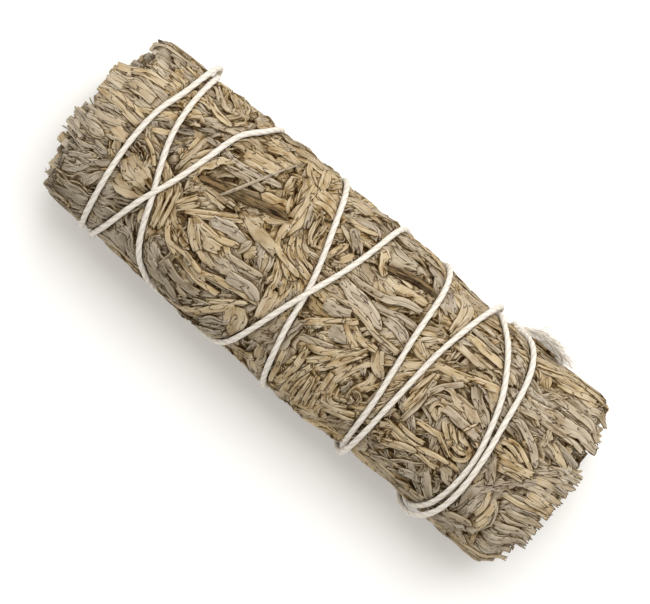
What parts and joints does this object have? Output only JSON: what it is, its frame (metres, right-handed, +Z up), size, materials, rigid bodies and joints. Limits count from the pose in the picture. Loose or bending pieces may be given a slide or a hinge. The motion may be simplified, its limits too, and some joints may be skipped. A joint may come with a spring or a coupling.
{
  "type": "dried sage bundle",
  "caption": "Dried herb leaves pressed into a short blunt cylinder and bound crosswise with cotton string, woody stems showing at one end.",
  "frame": {"origin": "on the surface the bundle lies on, under the middle of its box", "axes": "+X along the bundle to the cut stem ends, +Y across it towards the string's frayed end, +Z up"},
  "size_m": [0.1016, 0.038, 0.0305],
  "materials": {
    "leaf": "matt, dry and dusty, khaki to grey",
    "stem": "dry bark, paler where cut",
    "twig": "dark dry bark",
    "string": "matt twisted cotton, off-white"
  },
  "bodies": {
    "root": {"leafy_stem_1_leaves": "leaf", "leafy_stem_2_leaves": "leaf", "leafy_stem_3_leaves": "leaf", "leafy_stem_4_leaves": "leaf", "leafy_stem_5_leaves": "leaf", "leafy_stem_6_leaves": "leaf", "leafy_stem_7_leaves": "leaf", "leafy_stem_8_leaves": "leaf", "leafy_stem_1_wood": "stem", "leafy_stem_2_wood": "stem", "leafy_stem_3_wood": "stem", "leafy_stem_4_wood": "stem", "leafy_stem_5_wood": "stem", "leafy_stem_6_wood": "stem", "leafy_stem_7_wood": "stem", "leafy_stem_8_wood": "stem", "twig_long": "twig", "twig_short": "twig", "string": "string"}
  },
  "joints": []
}
